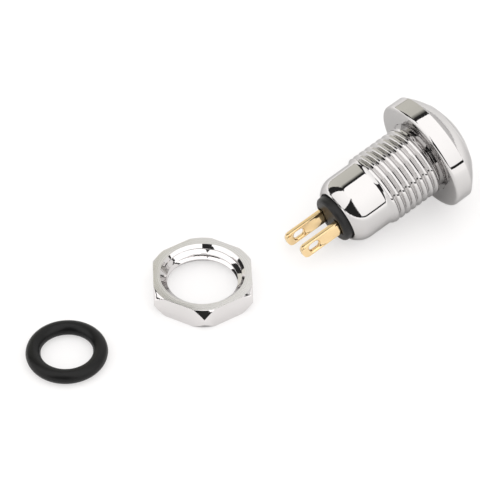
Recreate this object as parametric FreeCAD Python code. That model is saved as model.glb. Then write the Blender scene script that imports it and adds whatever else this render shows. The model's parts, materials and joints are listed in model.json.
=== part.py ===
import FreeCAD, Part
import math
import os

# Push button for panel mounting, with its nut and its sealing ring, in millimetres.
# The button lies on its side on the floor, z = 0, and rests on the back edge of its head
# and on the rolled edge of its tail. The nut and the ring lie flat beside its terminals,
# in a row along X. The button itself is built upright first: its axis is Z, its head is up,
# and the back of the head, which bears on the panel, is at z = 0.

# Head, turned in one piece with the threaded body
head_dia = 12.4
head_edge_height = 1.9
head_back_chamfer = 0.1
dome_radius = 8.2
aperture_chamfer = 0.12

# Threaded body and barrel
thread_dia = 8.0
thread_pitch = 0.75
thread_length = 6.45
undercut_dia = 7.1
undercut_length = 0.45
seat_relief_dia = 8.3
seat_relief_depth = 0.1
collar_dia = 7.7
collar_fillet = 0.5
barrel_dia = 7.42
barrel_length = 2.76
chamber_dia = 5.9

# Tail, rolled in over the terminal base
tail_roll_radius = 2.2
tail_roll_depth = 1.68
lip_opening_dia = 5.46
lip_thickness = 0.3

# Domed button cap
cap_dia = 8.4
cap_skirt = 1.35
cap_recess = 0.4
cap_edge = 0.12
press_travel = 1.0
cap_floor_gap = 0.2

# Plunger rod
rod_dia = 3.0
rod_head_dia = 2.4
rod_head_length = 1.0
rod_land = 0.35
rod_foot_dia = 1.8
rod_foot_length = 0.8

# Rod seal, its washer and the return spring
seal_section = 0.8
seal_side_gap = 0.025
seal_sides = 8
washer_thickness = 0.25
washer_bore_gap = 0.1
return_spring_dia = 5.2
return_spring_wire = 0.4
return_spring_length = 3.8
return_spring_turns = 3.0
spring_side_gap = 0.25
spring_wire_sides = 6

# Retaining clip
clip_dia = 4.6
clip_rim = 0.7
clip_thickness = 0.3
clip_groove_depth = 0.4
clip_mouth = 1.9
clip_tooth_angle = 40.0
clip_play = 0.05

# Contact carrier and its pin
carrier_height = 1.8
carrier_reserve = 0.23
pin_dia = 0.8
pin_depth = 0.9
pin_head_dia = 1.4
pin_head_height = 0.25
pin_head_reserve = 0.4

# Contact bridge and contacts
bridge_thickness = 0.25
bridge_rim = 0.3
contact_dia = 1.0
contact_crown = 0.1
fixed_contact_height = 0.35
bridge_contact_height = 0.2
contact_gap = 0.5
closed_gap = 0.02

# Contact spring
contact_spring_dia = 2.2
contact_spring_wire = 0.2
contact_spring_turns = 2.0
contact_spring_recess = 0.5

# Insulating sleeve
sleeve_wall = 0.25

# Terminal base, moulded
base_projection = 0.88
base_flange_height = 1.8
base_neck_gap = 0.14
base_edge_round = 0.4
gasket_thickness = 0.25
well_depth = 0.5
well_margin = 0.15

# Solder lugs
lug_spacing = 3.0
lug_width = 1.5
lug_thickness = 0.6
lug_length = 4.75
lug_tip_radius = 0.6
lug_stem_width = 0.9
eye_width = 0.85
eye_length = 1.35
eye_distance = 3.25

# Fits between round pieces, each a gap on the radius
running_gap = 0.05
fixed_gap = 0.05

# Panel nut
nut_across_flats = 10.0
nut_height = 2.4
nut_face_dia = 10.5
nut_chamfer_angle = 60.0
nut_countersink_margin = 0.32

# Sealing ring
ring_bore = 5.2
ring_section = 1.5
ring_sides = 12

# Layout of the row on the floor, measured from the back of the head
lug_roll = 14.0
nut_distance = 26.2
nut_turn = -2.4
ring_distance = 42.5
row_offset = 1.75

# Radii that more than one piece uses
head_r = head_dia / 2
thread_r = thread_dia / 2
collar_r = collar_dia / 2
barrel_r = barrel_dia / 2
chamber_r = chamber_dia / 2
lip_r = lip_opening_dia / 2
cap_r = cap_dia / 2
pocket_r = cap_r + running_gap
rod_r = rod_dia / 2
guide_r = rod_r + running_gap
rod_head_r = rod_head_dia / 2
rod_foot_r = rod_foot_dia / 2
groove_r = rod_r - clip_groove_depth
seal_centre_r = rod_r + seal_side_gap + seal_section / 2
gland_r = seal_centre_r + seal_section / 2 + seal_side_gap
return_spring_r = return_spring_dia / 2
counterbore_r = return_spring_r + spring_side_gap
sleeve_r = chamber_r - fixed_gap
sleeve_bore_r = sleeve_r - sleeve_wall
carrier_r = sleeve_bore_r - running_gap
pin_r = pin_dia / 2
pin_head_r = pin_head_dia / 2
contact_r = contact_dia / 2
contact_place = lug_spacing / 2
bridge_r = contact_place + contact_r + bridge_rim
contact_spring_r = contact_spring_dia / 2
contact_spring_bore_r = contact_spring_r - contact_spring_wire
base_neck_r = lip_r - base_neck_gap
nut_bore_r = (thread_dia - 1.0825 * thread_pitch) / 2
nut_corner_r = nut_across_flats / math.sqrt(3)
ring_centre_r = (ring_bore + ring_section) / 2

# Heights from the tail upwards: the inner pieces stand on each other on the rolled lip
thread_end = -thread_length
tail_start = thread_end - barrel_length
tail_end = tail_start - tail_roll_depth
lip_top = tail_end + lip_thickness
base_shoulder = lip_top + gasket_thickness
base_top = base_shoulder + base_flange_height
base_face = tail_end - base_projection
fixed_contact_top = base_top + fixed_contact_height
bridge_contact_bottom = fixed_contact_top + contact_gap
bridge_bottom = bridge_contact_bottom + bridge_contact_height
bridge_top = bridge_bottom + bridge_thickness
bridge_stroke = contact_gap - closed_gap
carrier_bottom = bridge_top + press_travel - bridge_stroke + carrier_reserve
contact_spring_top = carrier_bottom + contact_spring_recess
carrier_top = carrier_bottom + carrier_height
clip_bottom = carrier_top + rod_land
clip_top = clip_bottom + clip_thickness
guide_bottom = clip_top + clip_play

# Heights from the dome downwards: the cap, the return spring, the washer and the seal
dome_centre = head_edge_height - math.sqrt(dome_radius ** 2 - head_r ** 2)
dome_top = dome_centre + dome_radius


def dome_height(radius):
    """Height of the domed front at a distance from the axis."""
    return dome_centre + math.sqrt(dome_radius ** 2 - radius ** 2)


cap_bottom = dome_height(cap_r) - cap_skirt
cap_seat = cap_bottom + cap_recess
pocket_floor = cap_bottom - press_travel - cap_floor_gap
washer_top = cap_seat - return_spring_length
washer_bottom = washer_top - washer_thickness
gland_bottom = washer_bottom - seal_section - 2 * seal_side_gap


def lying_tilt():
    """Angle of the axis to the floor, when the head's back edge and the tail's roll both touch it."""
    along = head_back_chamfer - tail_start
    across = head_r - (barrel_r - tail_roll_radius)
    return math.atan2(across, along) - math.asin(tail_roll_radius / math.hypot(along, across))


tilt = lying_tilt()
seat_height = head_r * math.cos(tilt) - head_back_chamfer * math.sin(tilt)

# The middle of the row, so that the origin is under the middle of its box
row_start = -ring_distance - ring_centre_r - ring_section / 2
row_end = dome_centre * math.cos(tilt) + dome_radius
nut_side = max(nut_corner_r * math.sin(math.radians(60 * k + nut_turn)) for k in range(6))
row_far_side = max(head_r, row_offset + nut_side)
head_x = -(row_start + row_end) / 2
head_y = -(row_far_side - head_r) / 2


def point(radius, height):
    return FreeCAD.Vector(radius, 0, height)


def arc(centre_r, centre_z, radius, start, end):
    """Three points on an arc in the (radius, height) plane, with angles in degrees."""
    angles = [math.radians(a) for a in (start, (start + end) / 2, end)]
    return [(centre_r + radius * math.cos(a), centre_z + radius * math.sin(a)) for a in angles]


def outline_face(pieces):
    """Closed face in the XZ plane from corners (x, z) and arcs of three such points."""
    edges = []
    first = None
    last = None
    for piece in pieces:
        stops = piece if isinstance(piece, list) else [piece]
        start = point(*stops[0])
        if last is not None and last.distanceToPoint(start) > 1e-6:
            edges.append(Part.makeLine(last, start))
        if first is None:
            first = start
        last = start
        if len(stops) == 3:
            last = point(*stops[2])
            edges.append(Part.Arc(start, point(*stops[1]), last).toShape())
    if last.distanceToPoint(first) > 1e-6:
        edges.append(Part.makeLine(last, first))
    return Part.Face(Part.Wire(edges))


def turned(*pieces):
    """Solid turned about Z from an outline of (radius, height) corners and arcs."""
    return outline_face(pieces).revolve(FreeCAD.Vector(0, 0, 0), FreeCAD.Vector(0, 0, 1), 360)


def ring(bore_r, outer_r, bottom, top):
    """Plain ring with flat ends."""
    return turned((bore_r, bottom), (outer_r, bottom), (outer_r, top), (bore_r, top))


def many_sided(centre_x, centre_z, dia, sides):
    """Corners of a round section, drawn with flat sides that touch the round from inside its corners."""
    corner_r = dia / 2 / math.cos(math.pi / sides)
    angles = [math.tau * (k + 0.5) / sides for k in range(sides)]
    return [(centre_x + corner_r * math.cos(a), centre_z + corner_r * math.sin(a)) for a in angles]


def rubber_ring(centre_r, section, height, sides):
    """Moulded ring of round section, with flat sides so that it stays light."""
    return turned(*many_sided(centre_r, height, section, sides))


def block(width, depth, bottom, top, x=0.0):
    """Box centred on (x, 0), between two heights."""
    corner = FreeCAD.Vector(x - width / 2, -depth / 2, bottom)
    return Part.makeBox(width, depth, top - bottom, corner)


def housing():
    """Head, threaded body, barrel and rolled tail in one turned piece, bored from both ends."""
    roll_r = barrel_r - tail_roll_radius
    roll_end = math.degrees(math.asin(tail_roll_depth / tail_roll_radius))
    dome_edge = math.degrees(math.acos(head_r / dome_radius))
    thread_step = thread_r - undercut_dia / 2
    fillet_angle = math.degrees(math.acos(1 - (collar_r - barrel_r) / collar_fillet))
    fillet_start = thread_end - collar_fillet * math.sin(math.radians(fillet_angle))
    body = turned(
        (0, tail_end),
        arc(roll_r, tail_start, tail_roll_radius, -roll_end, 0),
        arc(barrel_r + collar_fillet, fillet_start, collar_fillet, 180, 180 - fillet_angle),
        (thread_r, thread_end + thread_r - collar_r),
        (thread_r, -undercut_length - thread_step),
        (undercut_dia / 2, -undercut_length),
        (undercut_dia / 2, seat_relief_depth),
        (seat_relief_dia / 2, seat_relief_depth),
        (seat_relief_dia / 2, 0),
        (head_r - head_back_chamfer, 0),
        (head_r, head_back_chamfer),
        arc(0, dome_centre, dome_radius, dome_edge, 90),
    )
    chamfer_bottom = dome_height(pocket_r) - aperture_chamfer
    above = dome_top + head_edge_height
    bore = turned(
        (0, base_face),
        (lip_r, base_face),
        (lip_r, lip_top),
        (chamber_r, lip_top),
        (chamber_r, guide_bottom),
        (guide_r, guide_bottom),
        (guide_r, gland_bottom),
        (gland_r, gland_bottom),
        (gland_r, washer_bottom),
        (counterbore_r, washer_bottom),
        (counterbore_r, pocket_floor),
        (pocket_r, pocket_floor),
        (pocket_r, chamfer_bottom),
        (pocket_r + above - chamfer_bottom, above),
        (0, above),
    )
    return body.cut(bore)


def button_cap():
    """Domed cap with a skirt, a seat for the spring and a blind hole for the rod."""
    edge_r = cap_r - cap_edge
    edge_angle = math.degrees(math.acos(edge_r / dome_radius))
    hole_top = cap_seat + rod_head_length
    return turned(
        (0, hole_top),
        (rod_head_r, hole_top),
        (rod_head_r, cap_seat),
        (counterbore_r, cap_seat),
        (counterbore_r, cap_bottom),
        (cap_r, cap_bottom),
        (cap_r, dome_height(edge_r) - cap_edge),
        arc(0, dome_centre, dome_radius, edge_angle, 90),
    )


def plunger_rod():
    """Rod pressed into the cap, with a groove for the clip and a foot for the carrier."""
    foot_bottom = carrier_top - rod_foot_length
    head_top = cap_seat + rod_head_length
    return turned(
        (0, foot_bottom),
        (rod_foot_r, foot_bottom),
        (rod_foot_r, carrier_top),
        (rod_r, carrier_top),
        (rod_r, clip_bottom),
        (groove_r, clip_bottom),
        (groove_r, clip_top),
        (rod_r, clip_top),
        (rod_r, cap_seat),
        (rod_head_r, cap_seat),
        (rod_head_r, head_top),
        (0, head_top),
    )


def coil_spring(outer_dia, wire, turns, bottom, top):
    """Compression spring with ends ground flat; its wire has flat sides so that it stays light."""
    centre_r = (outer_dia - wire) / 2
    length = top - bottom
    helix = Part.makeHelix(length / turns, length, centre_r)
    section = outline_face(many_sided(centre_r, 0, wire, spring_wire_sides)).OuterWire
    coil = Part.Wire(helix).makePipeShell([section], True, True)
    slab = Part.makeCylinder(outer_dia, length)
    spring = coil.common(slab)
    spring.translate(FreeCAD.Vector(0, 0, bottom))
    return spring


def retaining_clip():
    """Open clip with three teeth that reach into the rod's groove."""
    rim_r = clip_dia / 2
    clip = ring(rim_r - clip_rim, rim_r, clip_bottom, clip_top)
    tooth_r = groove_r + running_gap
    tooth = outline_face([
        (tooth_r, clip_bottom),
        (rim_r - clip_rim / 2, clip_bottom),
        (rim_r - clip_rim / 2, clip_top),
        (tooth_r, clip_top),
    ])
    axis_foot = FreeCAD.Vector(0, 0, 0)
    up = FreeCAD.Vector(0, 0, 1)
    for middle in (0, 110, 250):
        piece = tooth.revolve(axis_foot, up, clip_tooth_angle)
        piece.rotate(axis_foot, up, middle - clip_tooth_angle / 2)
        clip = clip.fuse(piece)
    mouth = Part.makeBox(clip_dia, clip_mouth, clip_thickness)
    mouth.translate(FreeCAD.Vector(-clip_dia, -clip_mouth / 2, clip_bottom))
    return clip.cut(mouth).removeSplitter()


def contact_carrier():
    """Insulating carrier: a socket for the rod's foot, a hole for the pin, a seat for the spring."""
    foot_bottom = carrier_top - rod_foot_length
    pin_top = carrier_bottom + pin_depth
    outside = turned((0, carrier_bottom), (carrier_r, carrier_bottom), (carrier_r, carrier_top), (0, carrier_top))
    socket = turned((0, foot_bottom), (rod_foot_r, foot_bottom), (rod_foot_r, carrier_top), (0, carrier_top))
    pin_hole = turned((0, carrier_bottom), (pin_r, carrier_bottom), (pin_r, pin_top), (0, pin_top))
    spring_seat = ring(
        contact_spring_bore_r - running_gap,
        contact_spring_r + running_gap,
        carrier_bottom,
        contact_spring_top,
    )
    return outside.cut(socket).cut(pin_hole).cut(spring_seat)


def carrier_pin():
    """Headed pin pressed into the carrier: its head holds up the bridge."""
    head_bottom = bridge_bottom - pin_head_height
    pin_top = carrier_bottom + pin_depth
    return turned(
        (0, head_bottom),
        (pin_head_r, head_bottom),
        (pin_head_r, bridge_bottom),
        (pin_r, bridge_bottom),
        (pin_r, pin_top),
        (0, pin_top),
    )


def contact(x, seat, height):
    """Contact rivet head with a bevelled face, on a seat; a negative height points down."""
    side = 1 if height > 0 else -1
    crown_z = seat + height
    shoulder_z = crown_z - side * contact_crown
    head = turned((0, seat), (0, crown_z), (contact_r / 2, crown_z), (contact_r, shoulder_z), (contact_r, seat))
    head.translate(FreeCAD.Vector(x, 0, 0))
    return head


def terminal_base():
    """Moulded base: a flange inside the tail, a neck that stands out of it, and wells round the lugs."""
    flange_r = chamber_r - fixed_gap
    edge_step = base_edge_round * (1 - math.sqrt(0.5))
    body = turned(
        (0, base_face),
        (base_neck_r - base_edge_round, base_face),
        (base_neck_r - edge_step, base_face + edge_step),
        (base_neck_r, base_face + base_edge_round),
        (base_neck_r, base_shoulder),
        (flange_r, base_shoulder),
        (flange_r, base_top),
        (0, base_top),
    )
    pin_well_bottom = bridge_bottom - pin_head_height - press_travel - pin_head_reserve
    pin_well_r = pin_head_r + 2 * running_gap
    body = body.cut(turned((0, pin_well_bottom), (pin_well_r, pin_well_bottom), (pin_well_r, base_top), (0, base_top)))
    well_width = lug_thickness + 2 * well_margin
    well_length = lug_width + 2 * well_margin
    for side in (-1, 1):
        body = body.cut(block(well_width, well_length, base_face, base_face + well_depth, side * contact_place))
        body = body.cut(lug_blank(side))
    return body


def facing_plate(face, thickness, side):
    """Plate made from an outline in the XZ plane, turned so that its flat side faces the other lug."""
    plate = face.extrude(FreeCAD.Vector(0, thickness, 0))
    plate.translate(FreeCAD.Vector(0, -thickness / 2, 0))
    plate.rotate(FreeCAD.Vector(0, 0, 0), FreeCAD.Vector(0, 0, 1), 90)
    plate.translate(FreeCAD.Vector(side * contact_place, 0, 0))
    return plate


def lug_blank(side):
    """Solder lug without its eye: a blade with a rounded tip, and a narrower stem in the base."""
    half = lug_width / 2
    stem = lug_stem_width / 2
    tip = base_face - lug_length
    shoulder = base_face + well_depth
    corner = lug_tip_radius
    face = outline_face([
        (-half, shoulder),
        arc(corner - half, tip + corner, corner, 180, 270),
        arc(half - corner, tip + corner, corner, 270, 360),
        (half, shoulder),
        (stem, shoulder),
        (stem, base_top),
        (-stem, base_top),
        (-stem, shoulder),
    ])
    return facing_plate(face, lug_thickness, side)


def terminal_lug(side):
    """Solder lug with an oblong eye for the wire."""
    eye_r = eye_width / 2
    reach = (eye_length - eye_width) / 2
    middle = base_face - eye_distance
    eye = outline_face([
        arc(0, middle + reach, eye_r, 0, 180),
        arc(0, middle - reach, eye_r, 180, 360),
    ])
    return lug_blank(side).cut(facing_plate(eye, 2 * lug_thickness, side))


def contact_bridge():
    """Round bridge plate that slides on the pin."""
    return ring(pin_r + running_gap, bridge_r, bridge_bottom, bridge_top)


def panel_nut():
    """Hexagon nut with chamfered corners and a countersunk bore."""
    corners = [
        FreeCAD.Vector(nut_corner_r * math.cos(math.radians(60 * k)), nut_corner_r * math.sin(math.radians(60 * k)), 0)
        for k in range(6)
    ]
    prism = Part.Face(Part.makePolygon(corners + corners[:1])).extrude(FreeCAD.Vector(0, 0, nut_height))
    face_r = nut_face_dia / 2
    edge = (nut_corner_r - face_r) * math.tan(math.radians(nut_chamfer_angle))
    envelope = turned(
        (0, 0),
        (face_r, 0),
        (nut_corner_r, edge),
        (nut_corner_r, nut_height - edge),
        (face_r, nut_height),
        (0, nut_height),
    )
    mouth_r = thread_r + nut_countersink_margin
    sink = mouth_r - nut_bore_r
    bore = turned(
        (0, 0),
        (mouth_r, 0),
        (nut_bore_r, sink),
        (nut_bore_r, nut_height - sink),
        (mouth_r, nut_height),
        (0, nut_height),
    )
    nut = prism.common(envelope).cut(bore)
    nut.rotate(FreeCAD.Vector(0, 0, 0), FreeCAD.Vector(0, 0, 1), nut_turn)
    return nut


def laid_down(shape):
    """Turns a piece of the upright button to where it lies on the floor."""
    origin = FreeCAD.Vector(0, 0, 0)
    shape.rotate(origin, FreeCAD.Vector(0, 0, 1), 90 - lug_roll)
    shape.rotate(origin, FreeCAD.Vector(0, 1, 0), 90 - math.degrees(tilt))
    shape.translate(FreeCAD.Vector(head_x, head_y, seat_height))
    return shape


def flat_in_row(shape, distance):
    """Moves a flat piece along the row to where it lies on the floor."""
    shape.translate(FreeCAD.Vector(head_x - distance, head_y + row_offset, 0))
    return shape


button_pieces = {
    "housing": housing(),
    "button_cap": button_cap(),
    "plunger_rod": plunger_rod(),
    "rod_seal": rubber_ring(seal_centre_r, seal_section, (gland_bottom + washer_bottom) / 2, seal_sides),
    "seal_washer": ring(rod_r + washer_bore_gap, counterbore_r - fixed_gap, washer_bottom, washer_top),
    "return_spring": coil_spring(
        return_spring_dia, return_spring_wire, return_spring_turns, washer_top, cap_seat
    ),
    "retaining_clip": retaining_clip(),
    "contact_carrier": contact_carrier(),
    "carrier_pin": carrier_pin(),
    "contact_spring": coil_spring(
        contact_spring_dia, contact_spring_wire, contact_spring_turns, bridge_top, contact_spring_top
    ),
    "contact_bridge": contact_bridge(),
    "bridge_contact_1": contact(-contact_place, bridge_bottom, -bridge_contact_height),
    "bridge_contact_2": contact(contact_place, bridge_bottom, -bridge_contact_height),
    "insulating_sleeve": ring(sleeve_bore_r, sleeve_r, base_top, guide_bottom),
    "terminal_base": terminal_base(),
    "base_gasket": ring(base_neck_r + fixed_gap, chamber_r - fixed_gap, lip_top, base_shoulder),
    "terminal_lug_1": terminal_lug(-1),
    "terminal_lug_2": terminal_lug(1),
    "fixed_contact_1": contact(-contact_place, base_top, fixed_contact_height),
    "fixed_contact_2": contact(contact_place, base_top, fixed_contact_height),
}

pieces = {name: laid_down(shape) for name, shape in button_pieces.items()}
pieces["panel_nut"] = flat_in_row(panel_nut(), nut_distance)
panel_o_ring = rubber_ring(ring_centre_r, ring_section, ring_section / 2, ring_sides)
pieces["panel_o_ring"] = flat_in_row(panel_o_ring, ring_distance)

os.makedirs("parts", exist_ok=True)
for name, shape in pieces.items():
    shape.exportStep("parts/" + name + ".step")

# Places that a reader may want: the back of the head on the axis, and the axis itself
print("back of the head", round(head_x, 4), round(head_y, 4), round(seat_height, 4))
print("axis towards the head", round(math.cos(tilt), 6), 0, round(math.sin(tilt), 6))
print("tilt", round(math.degrees(tilt), 3), "guide length", round(gland_bottom - guide_bottom, 3))
print("thread from", round(-undercut_length - thread_r + undercut_dia / 2, 3),
      "to", round(thread_end + thread_r - collar_r, 3))
print("bridge stroke", round(bridge_stroke, 3), "of", press_travel)
for name, shape in pieces.items():
    print(name, len(shape.Solids), round(shape.Volume, 4), shape.isValid())
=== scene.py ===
import json
import math

import bmesh
import bpy
from mathutils import Matrix, Vector


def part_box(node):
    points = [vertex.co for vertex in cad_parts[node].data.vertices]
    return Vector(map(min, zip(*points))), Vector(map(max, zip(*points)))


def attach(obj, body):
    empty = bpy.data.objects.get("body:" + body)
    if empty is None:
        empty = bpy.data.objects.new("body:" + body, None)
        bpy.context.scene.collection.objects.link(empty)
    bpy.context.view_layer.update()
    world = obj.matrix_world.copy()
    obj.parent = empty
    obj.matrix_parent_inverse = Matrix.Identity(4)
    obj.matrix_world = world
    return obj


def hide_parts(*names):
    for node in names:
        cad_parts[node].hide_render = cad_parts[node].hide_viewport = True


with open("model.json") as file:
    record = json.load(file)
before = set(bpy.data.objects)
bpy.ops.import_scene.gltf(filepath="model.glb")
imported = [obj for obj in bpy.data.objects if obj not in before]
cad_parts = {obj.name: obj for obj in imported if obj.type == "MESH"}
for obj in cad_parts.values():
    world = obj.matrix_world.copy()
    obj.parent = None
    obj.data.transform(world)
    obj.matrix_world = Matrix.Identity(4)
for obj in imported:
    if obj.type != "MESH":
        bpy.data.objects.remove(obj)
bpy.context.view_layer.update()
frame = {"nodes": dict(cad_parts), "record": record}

# Housing: the domed head, the fine thread, the barrel and the tail that is rolled in over the
# terminal base. It is one turned brass piece, plated in bright nickel. It lies on the back edge
# of its head and on its tail, and its axis is taken from the mounts of the thread and the seat.
mm = 0.001
mounts = {mount["name"]: mount for mount in frame["record"]["mounts"]}
to_head = -Vector(mounts["panel_thread"]["axis"]).normalized()
thread_middle = Vector(mounts["panel_thread"]["pos_m"])
panel_seat = Vector(mounts["panel_seat"]["pos_m"])
head_back = thread_middle + to_head * (panel_seat - thread_middle).dot(to_head)
lug_line = Vector(mounts["solder_lug_2"]["pos_m"]) - Vector(mounts["solder_lug_1"]["pos_m"])
lug_line.normalize()
turned = Matrix((lug_line, to_head.cross(lug_line), to_head)).transposed().to_4x4()
lying = Matrix.Translation(head_back) @ turned

turn_steps = 144
head_r = 6.2 * mm
head_edge = 1.9 * mm
back_edge = 0.3 * mm
front_edge = 0.1 * mm
front_edge_drop = 0.4 * front_edge
front_edge_start_degrees = 42
front_edge_clear_degrees = 0.9
dome_r = 8.2 * mm
pocket_r = 4.25 * mm
aperture_chamfer = 0.12 * mm
aperture_clear = 0.2 * mm
thread_r = 4.0 * mm
thread_length = 6.45 * mm
thread_lead = 0.3 * mm
pitch = 0.75 * mm
neck_r = 3.55 * mm
neck_length = 0.3 * mm
neck_slope = 2.0
relief_r = 4.15 * mm
relief_depth = 0.1 * mm
collar_r = 3.85 * mm
collar_fillet = 0.5 * mm
barrel_r = 3.71 * mm
barrel_end = -9.21 * mm
roll_r = 2.2 * mm
tail_end = -10.89 * mm
lip_r = 2.73 * mm
lip_edge = 0.05 * mm
lip_thickness = 0.3 * mm
chamber_r = 2.95 * mm
chamber_top = -3.99 * mm
guide_r = 1.55 * mm
gland_r = 2.35 * mm
gland_bottom = -2.274 * mm
gland_top = -1.424 * mm
spring_bore_r = 2.85 * mm
pocket_floor = 1.026 * mm
dome_centre = head_edge - math.sqrt(dome_r ** 2 - head_r ** 2)


def arc(centre_r, centre_z, radius, start, end, steps):
    """Points on an arc of a turned outline, with angles in degrees."""
    points = []
    for i in range(steps + 1):
        a = math.radians(start + (end - start) * i / steps)
        points.append((centre_r + radius * math.cos(a), centre_z + radius * math.sin(a)))
    return points


def on_dome(radius):
    """Height of the domed front at a distance from the axis."""
    return dome_centre + math.sqrt(dome_r ** 2 - radius ** 2)


def spin_outline(bm, outline, steps=turn_steps):
    """Turns an open or closed outline of (radius, height) points about Z."""
    line = [bm.verts.new((r, 0, z)) for r, z in outline]
    edges = [bm.edges.new(pair) for pair in zip(line, line[1:])]
    bmesh.ops.spin(bm, geom=line + edges, cent=(0, 0, 0), axis=(0, 0, 1), angle=math.tau,
                   steps=steps, use_merge=True, use_duplicate=False)


def spin_thread(bm, profile, bottom, top, limit):
    """Winds a thread profile, given over one pitch as (along, radius) points, between two heights.

    The limit gives the lowest and the highest radius that the blank allows at a height.
    """
    spare_turns = 2
    start = bottom - 1.5 * pitch
    line = []
    for turn in range(math.ceil((top - bottom) / pitch) + spare_turns):
        for along, radius in profile:
            line.append(bm.verts.new((radius, 0, start + turn * pitch + along)))
    edges = [bm.edges.new(pair) for pair in zip(line, line[1:])]
    bmesh.ops.spin(bm, geom=line + edges, cent=(0, 0, 0), axis=(0, 0, 1), angle=math.tau,
                   dvec=(0, 0, pitch / turn_steps), steps=turn_steps,
                   use_merge=False, use_duplicate=False)
    for vert in bm.verts:
        height = min(max(vert.co.z, bottom), top)
        around = math.atan2(vert.co.y, vert.co.x)
        lowest, highest = limit(height)
        radius = min(max(math.hypot(vert.co.x, vert.co.y), lowest), highest)
        vert.co = (radius * math.cos(around), radius * math.sin(around), height)


def closed_mesh(bm):
    """Merges what meets, drops what has no area and points the faces outwards."""
    meeting = 0.002 * mm
    no_length = 0.0005 * mm
    bmesh.ops.remove_doubles(bm, verts=bm.verts, dist=meeting)
    bmesh.ops.dissolve_degenerate(bm, dist=no_length, edges=bm.edges)
    bmesh.ops.recalc_face_normals(bm, faces=bm.faces)


def piece(name, bm, materials, body, node, place, sharp=32):
    """Makes the object of a finished mesh, which takes the place of a solid.

    The place is applied to the mesh itself, and edges are sharp from an angle in degrees.
    """
    bmesh.ops.transform(bm, matrix=place, verts=bm.verts)
    mesh = bpy.data.meshes.new(name)
    bm.to_mesh(mesh)
    bm.free()
    for material in materials:
        mesh.materials.append(material)
    mesh.shade_smooth()
    mesh.set_sharp_from_angle(angle=math.radians(sharp))
    obj = bpy.data.objects.new(name, mesh)
    bpy.context.scene.collection.objects.link(obj)
    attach(obj, body)
    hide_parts(node)


def new_material(name):
    """Material with a Principled shader, and a few short ways to its nodes."""
    material = bpy.data.materials.new(name)
    material.use_nodes = True
    nodes = material.node_tree.nodes
    return material, nodes, material.node_tree.links, nodes["Principled BSDF"]


def lathe_marks_group():
    """Turning marks about a Z axis: rings on flat faces, hoops on round ones, and cloudy tarnish."""
    group = bpy.data.node_groups.new("lathe marks", "ShaderNodeTree")
    group.interface.new_socket("Place", in_out="INPUT", socket_type="NodeSocketVector")
    group.interface.new_socket("Fineness", in_out="INPUT", socket_type="NodeSocketFloat")
    group.interface.new_socket("Marks", in_out="OUTPUT", socket_type="NodeSocketFloat")
    group.interface.new_socket("Clouds", in_out="OUTPUT", socket_type="NodeSocketFloat")
    nodes, links = group.nodes, group.links
    given = nodes.new("NodeGroupInput")
    out = nodes.new("NodeGroupOutput")
    split = nodes.new("ShaderNodeSeparateXYZ")
    off_axis = nodes.new("ShaderNodeCombineXYZ")
    radius = nodes.new("ShaderNodeVectorMath")
    radius.operation = "LENGTH"
    radius_and_height = nodes.new("ShaderNodeCombineXYZ")
    rings = nodes.new("ShaderNodeTexNoise")
    rings.inputs["Detail"].default_value = 3
    clouds = nodes.new("ShaderNodeTexNoise")
    clouds.inputs["Scale"].default_value = 260
    clouds.inputs["Detail"].default_value = 4
    links.new(given.outputs["Place"], split.inputs[0])
    links.new(split.outputs["X"], off_axis.inputs["X"])
    links.new(split.outputs["Y"], off_axis.inputs["Y"])
    links.new(off_axis.outputs[0], radius.inputs[0])
    links.new(radius.outputs["Value"], radius_and_height.inputs["X"])
    links.new(split.outputs["Z"], radius_and_height.inputs["Z"])
    links.new(radius_and_height.outputs[0], rings.inputs["Vector"])
    links.new(given.outputs["Fineness"], rings.inputs["Scale"])
    links.new(given.outputs["Place"], clouds.inputs["Vector"])
    links.new(rings.outputs["Fac"], out.inputs["Marks"])
    links.new(clouds.outputs["Fac"], out.inputs["Clouds"])
    return group


lathe_marks = lathe_marks_group()


def turned_metal(name, place, low_color, high_color, low_rough, high_rough, fineness, relief):
    """Turned and plated metal, whose turning marks run about the Z axis of a place."""
    grazing_tint = (0.62, 0.62, 0.62, 1)
    material, nodes, links, shader = new_material(name)
    shader.inputs["Metallic"].default_value = 1.0
    shader.inputs["Specular Tint"].default_value = grazing_tint
    coords = nodes.new("ShaderNodeTexCoord")
    turn = nodes.new("ShaderNodeMapping")
    turn.vector_type = "TEXTURE"
    turn.inputs["Location"].default_value = place.to_translation()
    turn.inputs["Rotation"].default_value = place.to_euler()
    marks = nodes.new("ShaderNodeGroup")
    marks.node_tree = lathe_marks
    marks.inputs["Fineness"].default_value = fineness
    color = nodes.new("ShaderNodeMix")
    color.data_type = "RGBA"
    color.inputs["A"].default_value = (*low_color, 1)
    color.inputs["B"].default_value = (*high_color, 1)
    rough = nodes.new("ShaderNodeMapRange")
    rough.inputs["To Min"].default_value = low_rough
    rough.inputs["To Max"].default_value = high_rough
    bump = nodes.new("ShaderNodeBump")
    bump.inputs["Strength"].default_value = 1.0
    bump.inputs["Distance"].default_value = relief
    links.new(coords.outputs["Object"], turn.inputs["Vector"])
    links.new(turn.outputs[0], marks.inputs["Place"])
    links.new(marks.outputs["Clouds"], color.inputs["Factor"])
    links.new(color.outputs["Result"], shader.inputs["Base Color"])
    links.new(marks.outputs["Marks"], rough.inputs["Value"])
    links.new(rough.outputs[0], shader.inputs["Roughness"])
    links.new(marks.outputs["Marks"], bump.inputs["Height"])
    links.new(bump.outputs[0], shader.inputs["Normal"])
    return material


nickel = turned_metal("bright nickel", lying, (0.575, 0.562, 0.558), (0.625, 0.612, 0.606),
                      0.02, 0.04, 6000, 0.007 * mm)

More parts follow.
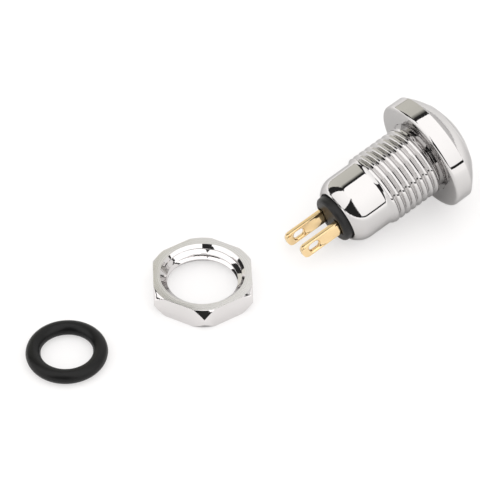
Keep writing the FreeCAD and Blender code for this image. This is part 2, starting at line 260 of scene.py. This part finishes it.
# Half a pitch of the outer thread as (along, radius) in mm, from mid root to mid crest
root_to_crest = [
    (0.0, 3.712),
    (0.020, 3.714),
    (0.036, 3.726),
    (0.048, 3.740),
    (0.226, 3.966),
    (0.238, 3.980),
    (0.252, 3.990),
    (0.280, 3.997),
    (0.375, 4.0),
]
rising = [(along * mm, radius * mm) for along, radius in root_to_crest]
falling = [(pitch - along, radius) for along, radius in reversed(rising[1:-1])]
outer_profile = rising + falling


def thread_blank(height):
    """Lowest and highest radius of the threaded blank: a chamfered lead and a neck at the head."""
    start = collar_r + (height + thread_length)
    finish = neck_r + max(0.0, -height - neck_length) * neck_slope
    highest = min(thread_r, start, finish)
    into_lead = (thread_lead - height - thread_length) / thread_lead
    lowest = neck_r + max(0.0, into_lead) * (thread_r - neck_r)
    return min(lowest, highest), highest


bm = bmesh.new()
spin_thread(bm, outer_profile, -thread_length, 0, thread_blank)
edge_turn = math.degrees(math.acos(head_r / dome_r))
roll_stop = math.degrees(math.acos((barrel_end - tail_end) / roll_r))
fillet_turn = math.degrees(math.acos(1 - (collar_r - barrel_r) / collar_fillet))
fillet_start = -thread_length - collar_fillet * math.sin(math.radians(fillet_turn))
outline = arc(barrel_r + collar_fillet, fillet_start, collar_fillet, 180 - fillet_turn, 180, 6)
outline.append((barrel_r, (barrel_end + fillet_start) / 2))
outline += arc(barrel_r - roll_r, barrel_end, roll_r, 0, roll_stop - 90, 16)
outline += arc(lip_r + lip_edge, tail_end + lip_edge, lip_edge, -90, -180, 3)
outline += [
    (lip_r, tail_end + lip_thickness),
    (chamber_r, tail_end + lip_thickness),
    (chamber_r, chamber_top),
    (guide_r, chamber_top),
    (guide_r, gland_bottom),
    (gland_r, gland_bottom),
    (gland_r, gland_top),
    (spring_bore_r, gland_top),
    (spring_bore_r, pocket_floor),
    (pocket_r, pocket_floor),
    (pocket_r, on_dome(pocket_r) - aperture_chamfer),
    (pocket_r + 0.8 * aperture_chamfer, on_dome(pocket_r) - 0.2 * aperture_chamfer),
]
aperture_turn = math.degrees(math.acos((pocket_r + aperture_clear) / dome_r))
outline += arc(0, dome_centre, dome_r, aperture_turn, edge_turn + front_edge_clear_degrees, 10)
outline += arc(head_r - front_edge, head_edge - front_edge_drop, front_edge,
               front_edge_start_degrees, 0, 4)
outline += [(head_r, head_edge / 2)]
outline += arc(head_r - back_edge, back_edge, back_edge, 0, -90, 4)
outline += [
    (relief_r, 0),
    (relief_r - relief_depth, relief_depth),
    (neck_r, relief_depth),
    (neck_r, 0),
]
spin_outline(bm, outline)
closed_mesh(bm)
piece("housing_shell", bm, [nickel], "casing", "housing", lying)

# Button cap: the domed disc that the finger presses, of the same plated brass as the housing. It
# is turned, with a skirt that slides in the head, a seat for the return spring and a blind hole
# into which the rod is pressed.
cap_r = 4.2 * mm
cap_edge = 0.12 * mm
cap_edge_clear_degrees = 1.2
cap_skirt = 1.35 * mm
cap_skirt_edge = 0.05 * mm
cap_bottom = on_dome(cap_r) - cap_skirt
cap_seat = cap_bottom + 0.4 * mm
rod_hole_r = 1.2 * mm
rod_hole_top = cap_seat + 1.0 * mm
cap_nickel = turned_metal("polished cap", lying, (0.575, 0.562, 0.558), (0.615, 0.602, 0.598),
                          0.04, 0.09, 7000, 0.001 * mm)

bm = bmesh.new()
edge_angle = math.degrees(math.acos((cap_r - cap_edge) / dome_r))
outline = [
    (0, rod_hole_top),
    (rod_hole_r, rod_hole_top),
    (rod_hole_r, cap_seat),
    (spring_bore_r, cap_seat),
    (spring_bore_r, cap_bottom),
    (cap_r - cap_skirt_edge, cap_bottom),
    (cap_r, cap_bottom + cap_skirt_edge),
]
outline += arc(cap_r - cap_edge, on_dome(cap_r - cap_edge) - cap_edge, cap_edge, 0, edge_angle, 5)
outline += arc(0, dome_centre, dome_r, edge_angle + cap_edge_clear_degrees, 90, 18)
spin_outline(bm, outline)
closed_mesh(bm)
piece("press_cap", bm, [cap_nickel], "plunger", "button_cap", lying)

# Terminal base: a black moulding that the rolled tail holds, with a soft edge round its face and
# a well at the root of each lug. The lugs stand in it on the line between the two solder mounts.
base_neck_r = 2.59 * mm
base_projection = 0.88 * mm
base_face = tail_end - base_projection
base_shoulder = tail_end + 0.55 * mm
base_flange_height = 1.8 * mm
base_top = base_shoulder + base_flange_height
base_flange_r = 2.9 * mm
base_round = 0.4 * mm
base_face_r = base_neck_r - base_round
pin_well_r = 0.8 * mm
pin_well_depth = 0.6 * mm
well_depth = 0.5 * mm
well_edge = 0.05 * mm
well_corner = 0.12 * mm
well_rim_corner = 0.15 * mm
well_half_width = 0.45 * mm
well_half_length = 0.9 * mm
lug_place = 1.5 * mm


def loop_of(bm, points):
    """Corners of a closed loop."""
    return [bm.verts.new(p) for p in points]


def join_loops(bm, *loops):
    """Quads between each loop and the next, which have as many corners."""
    for near, far in zip(loops, loops[1:]):
        for i in range(len(near)):
            bm.faces.new((near[i - 1], near[i], far[i], far[i - 1]))


def loop_edges(bm, loop):
    """Edges of a closed loop of corners."""
    pairs = zip(loop, loop[1:] + loop[:1])
    return [bm.edges.get(pair) or bm.edges.new(pair) for pair in pairs]


def fill_between(bm, *loops):
    """Flat faces between an outer loop and the loops of its holes."""
    edges = [edge for loop in loops for edge in loop_edges(bm, loop)]
    found = bmesh.ops.triangle_fill(bm, use_beauty=True, edges=edges)["geom"]
    return [face for face in found if isinstance(face, bmesh.types.BMFace)]


def rounded_box(low, high, half, corner, height):
    """Oblong with round corners, from x = low to x = high, at a height."""
    corner_steps = 5
    points = []
    for x, y, start in (
        (high - corner, half - corner, 0),
        (low + corner, half - corner, 90),
        (low + corner, corner - half, 180),
        (high - corner, corner - half, 270),
    ):
        points += arc(x, y, corner, start, start + 90, corner_steps)
    return [(x, y, height) for x, y in points]


def speckled(name, low_color, high_color, low_rough, high_rough, grain, relief,
             metal=0.0, shine=0.5):
    """Moulded or rolled stuff with a fine grain in its colour, its gloss and its surface."""
    grain_height = 0.02 * mm
    material, nodes, links, shader = new_material(name)
    shader.inputs["Metallic"].default_value = metal
    shader.inputs["Specular IOR Level"].default_value = shine
    coords = nodes.new("ShaderNodeTexCoord")
    noise = nodes.new("ShaderNodeTexNoise")
    noise.inputs["Scale"].default_value = grain
    noise.inputs["Detail"].default_value = 5
    color = nodes.new("ShaderNodeMix")
    color.data_type = "RGBA"
    color.inputs["A"].default_value = (*low_color, 1)
    color.inputs["B"].default_value = (*high_color, 1)
    rough = nodes.new("ShaderNodeMapRange")
    rough.inputs["To Min"].default_value = low_rough
    rough.inputs["To Max"].default_value = high_rough
    bump = nodes.new("ShaderNodeBump")
    bump.inputs["Strength"].default_value = relief
    bump.inputs["Distance"].default_value = grain_height
    links.new(coords.outputs["Object"], noise.inputs["Vector"])
    links.new(noise.outputs["Fac"], color.inputs["Factor"])
    links.new(color.outputs["Result"], shader.inputs["Base Color"])
    links.new(noise.outputs["Fac"], rough.inputs["Value"])
    links.new(rough.outputs[0], shader.inputs["Roughness"])
    links.new(noise.outputs["Fac"], bump.inputs["Height"])
    links.new(bump.outputs[0], shader.inputs["Normal"])
    return material


black_moulding = speckled("black moulding", (0.008, 0.008, 0.0085), (0.018, 0.0175, 0.0175),
                          0.36, 0.50, 2600, 0.25, shine=0.27)

bm = bmesh.new()
outline = arc(base_neck_r - base_round, base_face + base_round, base_round, -90, 0, 8)
outline += [
    (base_neck_r, base_shoulder),
    (base_flange_r, base_shoulder),
    (base_flange_r, base_top),
    (pin_well_r, base_top),
    (pin_well_r, base_top - pin_well_depth),
    (0, base_top - pin_well_depth),
]
spin_outline(bm, outline)
face_edge = loop_of(bm, [(base_face_r * math.cos(a), base_face_r * math.sin(a), base_face)
                         for a in (math.tau * k / turn_steps for k in range(turn_steps))])
rims = []
for middle in (-lug_place, lug_place):
    wells = []
    for widen, corner, height in (
        (well_edge, well_rim_corner, base_face),
        (0, well_corner, base_face + well_edge),
        (0, well_corner, base_face + well_depth),
    ):
        reach = well_half_width + widen
        oblong = rounded_box(middle - reach, middle + reach, well_half_length + widen, corner, height)
        wells.append(loop_of(bm, oblong))
    join_loops(bm, *wells)
    bm.faces.new(wells[-1])
    rims.append(wells[0])
fill_between(bm, face_edge, *rims)
closed_mesh(bm)
piece("base_moulding", bm, [black_moulding], "casing", "terminal_base", lying)

# Solder lugs: two gold-plated brass blades with rounded tips and an oblong eye for the wire,
# punched from strip and moulded into the base on a narrower stem. Their flat sides face each other.
lug_half = 0.75 * mm
lug_half_thick = 0.3 * mm
lug_length = 4.75 * mm
lug_tip = base_face - lug_length
lug_corner = 0.6 * mm
lug_edge = 0.05 * mm
stem_half = 0.45 * mm
eye_r = 0.425 * mm
eye_reach = 0.25 * mm
eye_middle = base_face - 3.25 * mm
eye_edge = 0.12 * mm
gold = speckled("gold plate", (0.84, 0.62, 0.33), (0.92, 0.70, 0.41),
                0.10, 0.18, 1800, 0.05, metal=1.0)


def lug_outline(inset):
    """Outline of the blade and its stem, drawn in by an inset."""
    half = lug_half - inset
    stem = stem_half - inset
    corner = lug_corner - inset
    tip = lug_tip + inset
    shoulder = base_face + well_depth - inset
    points = arc(corner - half, tip + corner, corner, 180, 270, 10)
    points += arc(half - corner, tip + corner, corner, 270, 360, 10)
    points += [(half, shoulder), (stem, shoulder), (stem, base_top)]
    points += [(-stem, base_top), (-stem, shoulder), (-half, shoulder)]
    return points


def eye_outline(inset):
    """Outline of the eye, widened by an inset."""
    return (arc(0, eye_middle + eye_reach, eye_r + inset, 0, 180, 14)
            + arc(0, eye_middle - eye_reach, eye_r + inset, 180, 360, 14))


for name, place in (("terminal_lug_1", -lug_place), ("terminal_lug_2", lug_place)):
    bm = bmesh.new()
    skins = []
    for outline_of, edge in ((lug_outline, lug_edge), (eye_outline, eye_edge)):
        levels = (
            (edge, -lug_half_thick),
            (0, edge - lug_half_thick),
            (0, lug_half_thick - edge),
            (edge, lug_half_thick),
        )
        skins.append([loop_of(bm, [(place + x, y, z) for y, z in outline_of(inset)])
                      for inset, x in levels])
        join_loops(bm, *skins[-1])
    for end in (0, -1):
        fill_between(bm, *[loops[end] for loops in skins])
    closed_mesh(bm)
    piece(name + "_blade", bm, [gold], "casing", name, lying, sharp=50)

# Panel nut: a thin hexagon nut with both faces chamfered, a wide countersink and the same fine
# thread. It is turned from bar and plated, and it lies flat beside the button. Its faces are
# satin with the marks of the facing tool, and its thread is bright.
nut_box_low, nut_box_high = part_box("panel_nut")
nut_centre = (Vector(nut_box_low) + Vector(nut_box_high)) / 2
nut_height = nut_box_high[2] - nut_box_low[2]
nut_turn = math.radians(-2.4)
nut_half = 5.0 * mm
nut_face_r = 5.25 * mm
nut_slope = math.tan(math.radians(60))
nut_corner_round = 0.08 * mm
nut_mouth_r = 4.32 * mm
nut_bore_r = 3.594 * mm
nut_root_r = 4.03 * mm
nut_place = Matrix.Translation((nut_centre.x, nut_centre.y, 0)) @ Matrix.Rotation(nut_turn, 4, "Z")
nut_face = turned_metal("faced nickel", nut_place, (0.64, 0.63, 0.61), (0.72, 0.71, 0.685),
                        0.22, 0.34, 8000, 0.012 * mm)
nut_bright = turned_metal("bright nut", nut_place, (0.72, 0.70, 0.695), (0.765, 0.745, 0.74),
                          0.03, 0.08, 7000, 0.001 * mm)

# Half a pitch of the inner thread, from mid root to the edge of a crest
inner_half = [
    (0.0, nut_root_r),
    (0.050 * mm, nut_root_r - 0.008 * mm),
    (0.080 * mm, nut_root_r - 0.035 * mm),
    (0.285 * mm, nut_bore_r + 0.035 * mm),
    (0.305 * mm, nut_bore_r + 0.008 * mm),
    (0.330 * mm, nut_bore_r),
]
inner_profile = inner_half + [(pitch - along, radius) for along, radius in reversed(inner_half[1:])]


def nut_blank(height):
    """Lowest and highest radius of the threaded bore, which is countersunk from both faces."""
    sink = nut_mouth_r - min(height, nut_height - height)
    return max(sink, nut_bore_r), max(nut_mouth_r, nut_root_r)


def hexagon_reach(around):
    """Distance from the middle to the side of the hexagon at an angle, with its corners rounded."""
    corner_to_flat = math.radians(30)
    from_corner = math.radians((math.degrees(around) + 30) % 60 - 30)
    reach = nut_half / math.cos(corner_to_flat - abs(from_corner))
    centre = (nut_half - nut_corner_round) / math.cos(corner_to_flat)
    across = centre * math.sin(from_corner)
    if abs(across) < nut_corner_round * 0.5:
        outward = math.sqrt(nut_corner_round ** 2 - across ** 2)
        reach = min(reach, centre * math.cos(from_corner) + outward)
    return reach


bm = bmesh.new()
spin_thread(bm, inner_profile, 0, nut_height, nut_blank)
closed_mesh(bm)
mouths = {}
for height in (0, nut_height):
    rim = [vert for vert in bm.verts if vert.is_boundary and abs(vert.co.z - height) < 0.01 * mm]
    mouths[height] = sorted(rim, key=lambda vert: math.atan2(vert.co.y, vert.co.x))
angles = [math.tau * k / turn_steps for k in range(turn_steps)]
round_corner_degrees = (0.12, 0.24, 0.38, 0.8)
for k in range(6):
    for degrees in round_corner_degrees:
        angles += [math.radians(60 * k + degrees), math.radians((60 * k - degrees) % 360)]
angles.sort()


def nut_skin(step, low_side):
    """Loop round the nut's outside, at a step away from its lower or its upper face.

    The steps go over the rounded edge of the face, down a corner's cone and on to the flats.
    """
    points = []
    for around in angles:
        reach = hexagon_reach(around)
        cone = max(0.0, reach - nut_face_r)
        rim = reach - cone
        near = min(cone, 0.010 * mm)
        radius, drop = (
            (rim - 0.030 * mm, 0),
            (rim - 0.008 * mm, 0.006 * mm),
            (rim + near, 0.024 * mm),
            (reach - near, max(0.028 * mm, (cone - near) * nut_slope)),
            (reach - 0.2 * near, max(0.032 * mm, cone * nut_slope + 0.002 * mm)),
            (reach, max(0.036 * mm, cone * nut_slope + 0.020 * mm)),
        )[step]
        height = drop if low_side else nut_height - drop
        points.append((radius * math.cos(around), radius * math.sin(around), height))
    return loop_of(bm, points)


loops = [nut_skin(step, True) for step in range(6)]
loops += [nut_skin(step, False) for step in range(5, -1, -1)]
join_loops(bm, *loops)
for height, skin in ((0, loops[0]), (nut_height, loops[-1])):
    for face in fill_between(bm, skin, mouths[height]):
        face.material_index = 1
closed_mesh(bm)
piece("hex_nut", bm, [nut_bright, nut_face], "casing", "panel_nut", nut_place)

# Sealing ring: a moulded O-ring of black rubber that goes under the head, with the faint flash
# of the mould's parting line round its middle. It lies flat at the end of the row.
ring_box_low, ring_box_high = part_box("panel_o_ring")
ring_place = Matrix.Translation((
    (ring_box_low[0] + ring_box_high[0]) / 2,
    (ring_box_low[1] + ring_box_high[1]) / 2,
    0,
))
ring_section_r = (ring_box_high[2] - ring_box_low[2]) / 2
ring_centre_r = 3.35 * mm
flash = 0.012 * mm
flash_degrees = 3
black_rubber = speckled("black rubber", (0.002, 0.002, 0.002), (0.005, 0.005, 0.005),
                        0.32, 0.44, 1500, 0.35, shine=0.26)

bm = bmesh.new()
outline = []
for start, side in ((0, 1), (180, -1)):
    outline += arc(ring_centre_r, ring_section_r, ring_section_r - flash,
                   start + flash_degrees, start + 180 - flash_degrees, 28)
    outline.append((ring_centre_r - side * ring_section_r, ring_section_r))
outline.append(outline[0])
spin_outline(bm, outline, steps=128)
closed_mesh(bm)
piece("sealing_ring", bm, [black_rubber], "casing", "panel_o_ring", ring_place)

# Inner pieces: the rod, its seal, washer, springs, clip, carrier, bridge and contacts are closed
# up in the housing. They keep their solids and only take the finish of what they are made of.
steel = speckled("stainless steel", (0.50, 0.50, 0.49), (0.58, 0.57, 0.56),
                 0.18, 0.32, 2400, 0.1, metal=1.0)
spring_steel = speckled("spring steel", (0.42, 0.42, 0.43), (0.50, 0.50, 0.50),
                        0.2, 0.34, 3200, 0.08, metal=1.0)
brass = speckled("turned brass", (0.78, 0.58, 0.27), (0.86, 0.66, 0.33),
                 0.16, 0.3, 2200, 0.08, metal=1.0)
silver = speckled("contact silver", (0.84, 0.83, 0.80), (0.92, 0.91, 0.88),
                  0.2, 0.36, 2800, 0.08, metal=1.0)
inner_finish = {
    "plunger_rod": brass,
    "rod_seal": black_rubber,
    "seal_washer": steel,
    "return_spring": spring_steel,
    "retaining_clip": steel,
    "contact_carrier": black_moulding,
    "carrier_pin": steel,
    "contact_spring": spring_steel,
    "contact_bridge": gold,
    "bridge_contact_1": silver,
    "bridge_contact_2": silver,
    "insulating_sleeve": black_moulding,
    "base_gasket": black_rubber,
    "fixed_contact_1": silver,
    "fixed_contact_2": silver,
}
for name, material in inner_finish.items():
    for material_slot in frame["nodes"][name].material_slots:
        material_slot.material = material

# Studio: a white floor inside a light tent, whose bright and grey panels stand round the row with
# dark gaps between them. The polished metal shows the panels as white and olive-grey areas and the
# gaps as black lines. The camera looks in where the tent is open.
scene = bpy.context.scene
tent_r = 0.7
panel_cell_degrees = 4


def on_tent(azimuth, elevation):
    """Point on the tent in a direction given in degrees."""
    a, e = math.radians(azimuth), math.radians(elevation)
    x, y = tent_r * math.cos(a) * math.cos(e), tent_r * math.sin(a) * math.cos(e)
    return x, y, tent_r * math.sin(e)


def tent_panel(name, low_azimuths, high_azimuths, elevations, color, strengths):
    """Panel of the tent, between two azimuths at its lower edge and two at its upper edge.

    All are in degrees, with azimuth 0 along +X and 90 along +Y. The glow runs from the lower
    strength to the upper one.
    """
    bm = bmesh.new()
    bottom, top = elevations
    across = max(2, round(abs(low_azimuths[1] - low_azimuths[0]) / panel_cell_degrees))
    upward = max(2, round(abs(top - bottom) / panel_cell_degrees))
    rows = []
    for j in range(upward + 1):
        elevation = bottom + (top - bottom) * j / upward
        start, stop = (low + (high - low) * j / upward
                       for low, high in zip(low_azimuths, high_azimuths))
        rows.append([bm.verts.new(on_tent(start + (stop - start) * i / across, elevation))
                     for i in range(across + 1)])
    for low, high in zip(rows, rows[1:]):
        for i in range(across):
            bm.faces.new((low[i], low[i + 1], high[i + 1], high[i]))
    bmesh.ops.remove_doubles(bm, verts=bm.verts, dist=mm)
    mesh = bpy.data.meshes.new(name)
    bm.to_mesh(mesh)
    bm.free()
    panel = bpy.data.objects.new(name, mesh)
    scene.collection.objects.link(panel)
    material = bpy.data.materials.new(name)
    material.use_nodes = True
    nodes, links = material.node_tree.nodes, material.node_tree.links
    nodes.clear()
    glow = nodes.new("ShaderNodeEmission")
    glow.inputs["Color"].default_value = (*color, 1)
    place = nodes.new("ShaderNodeNewGeometry")
    height = nodes.new("ShaderNodeSeparateXYZ")
    fade = nodes.new("ShaderNodeMapRange")
    fade.inputs["From Min"].default_value = tent_r * math.sin(math.radians(bottom))
    fade.inputs["From Max"].default_value = tent_r * math.sin(math.radians(top))
    fade.inputs["To Min"].default_value = strengths[0]
    fade.inputs["To Max"].default_value = strengths[1]
    out = nodes.new("ShaderNodeOutputMaterial")
    links.new(place.outputs["Position"], height.inputs[0])
    links.new(height.outputs["Z"], fade.inputs["Value"])
    links.new(fade.outputs[0], glow.inputs["Strength"])
    links.new(glow.outputs[0], out.inputs["Surface"])
    mesh.materials.append(material)
    panel.visible_camera = False
    panel.visible_shadow = False


white = (1.0, 0.99, 0.985)
olive = (1.0, 0.985, 0.90)
tent_panel("tent top", (0, 360), (0, 360), (66, 90), white, (1.65, 1.65))
tent_panel("tent front", (-98, -36), (-137, -36), (5, 66), white, (1.45, 1.65))
tent_panel("tent left", (135, 189), (135, 219), (4, 66), white, (1.4, 1.6))
tent_panel("tent back", (62, 111), (62, 111), (0.5, 50), olive, (0.92, 0.78))
tent_panel("tent back edge", (62, 111), (62, 111), (50, 59), olive, (0.78, 0.05))
tent_panel("tent back right", (26, 62), (26, 62), (0.5, 63), white, (0.9, 1.1))
tent_panel("tent right", (-31, 26), (-31, 26), (0.5, 60), white, (0.85, 1.0))

floor_r = 0.99 * tent_r
bm = bmesh.new()
bmesh.ops.create_circle(bm, cap_ends=True, segments=96, radius=floor_r)
floor_mesh = bpy.data.meshes.new("floor")
bm.to_mesh(floor_mesh)
bm.free()
floor = bpy.data.objects.new("floor", floor_mesh)
scene.collection.objects.link(floor)
paper, paper_nodes, paper_links, paper_shader = new_material("white paper")
paper_shader.inputs["Emission Color"].default_value = (1.0, 0.985, 0.98, 1)
paper_shader.inputs["Roughness"].default_value = 0.9
paper_shader.inputs["Specular IOR Level"].default_value = 0.1

# Directly seen, the paper glows with an even painted light, which washes its shadows out to white
# as in an over-lit product photograph. In the metal it shows its shadows, and a painted glow makes
# it brighter away from the row, from near_row to off_row metres from the middle: painted shade near
# the row.
near_row, off_row = 0.025, 0.06
paper_place = paper_nodes.new("ShaderNodeNewGeometry")
paper_far = paper_nodes.new("ShaderNodeVectorMath")
paper_far.operation = "LENGTH"
# Painted glow of the paper as seen in the metal: dim near the row, which paints shade there, and
# bright away from it
paper_painted_glow = paper_nodes.new("ShaderNodeMapRange")
paper_painted_glow.inputs["From Min"].default_value = near_row
paper_painted_glow.inputs["From Max"].default_value = off_row
paper_painted_glow.inputs["To Min"].default_value = 0.10
paper_painted_glow.inputs["To Max"].default_value = 0.45
paper_rays = paper_nodes.new("ShaderNodeLightPath")
# Seen by the camera the paper takes less of its real lighting, so its shadows are weaker, and the
# painted glow makes up the rest
paper_color = paper_nodes.new("ShaderNodeMapRange")
paper_color.inputs["To Min"].default_value = 0.80
paper_color.inputs["To Max"].default_value = 0.45
# Painted glow strength: an even painted light for camera rays, the graded painted glow for all other
# rays
paper_painted_glow_strength = paper_nodes.new("ShaderNodeMapRange")
paper_painted_glow_strength.inputs["To Max"].default_value = 0.52
paper_links.new(paper_place.outputs["Position"], paper_far.inputs[0])
paper_links.new(paper_far.outputs["Value"], paper_painted_glow.inputs["Value"])
paper_links.new(paper_painted_glow.outputs[0], paper_painted_glow_strength.inputs["To Min"])
paper_links.new(paper_rays.outputs["Is Camera Ray"], paper_color.inputs["Value"])
paper_links.new(paper_rays.outputs["Is Camera Ray"], paper_painted_glow_strength.inputs["Value"])
paper_links.new(paper_color.outputs[0], paper_shader.inputs["Base Color"])
paper_links.new(paper_painted_glow_strength.outputs[0], paper_shader.inputs["Emission Strength"])
floor_mesh.materials.append(paper)

# The world is white behind the row and lights the matt things, and is near black in the metal
world = bpy.data.worlds.new("studio")
scene.world = world
world.use_nodes = True
world_nodes, world_links = world.node_tree.nodes, world.node_tree.links
background = world_nodes["Background"]
background.inputs["Color"].default_value = (1, 1, 1, 1)
world_rays = world_nodes.new("ShaderNodeLightPath")
seen_or_diffuse = world_nodes.new("ShaderNodeMath")
seen_or_diffuse.operation = "MAXIMUM"
world_strength = world_nodes.new("ShaderNodeMapRange")
world_strength.inputs["To Min"].default_value = 0.03
world_strength.inputs["To Max"].default_value = 1.0
world_links.new(world_rays.outputs["Is Camera Ray"], seen_or_diffuse.inputs[0])
world_links.new(world_rays.outputs["Is Diffuse Ray"], seen_or_diffuse.inputs[1])
world_links.new(seen_or_diffuse.outputs[0], world_strength.inputs["Value"])
world_links.new(world_strength.outputs[0], background.inputs["Strength"])

# Camera: a long lens that looks down on the row from the front left, so that the row runs from
# the lower left of the frame to its upper right.
camera_place = (-0.10912, -0.15380, 0.18809)
camera_looks_along = Vector((0.4112, 0.5886, -0.6960))
camera_data = bpy.data.cameras.new("camera")
camera_data.sensor_width = 36
camera_data.lens = 195
camera_data.clip_start = 0.01
camera_data.clip_end = 10
camera = bpy.data.objects.new("camera", camera_data)
camera.location = camera_place
camera.rotation_euler = camera_looks_along.to_track_quat("-Z", "Y").to_euler()
scene.collection.objects.link(camera)
scene.camera = camera
scene.view_settings.view_transform = "Standard"
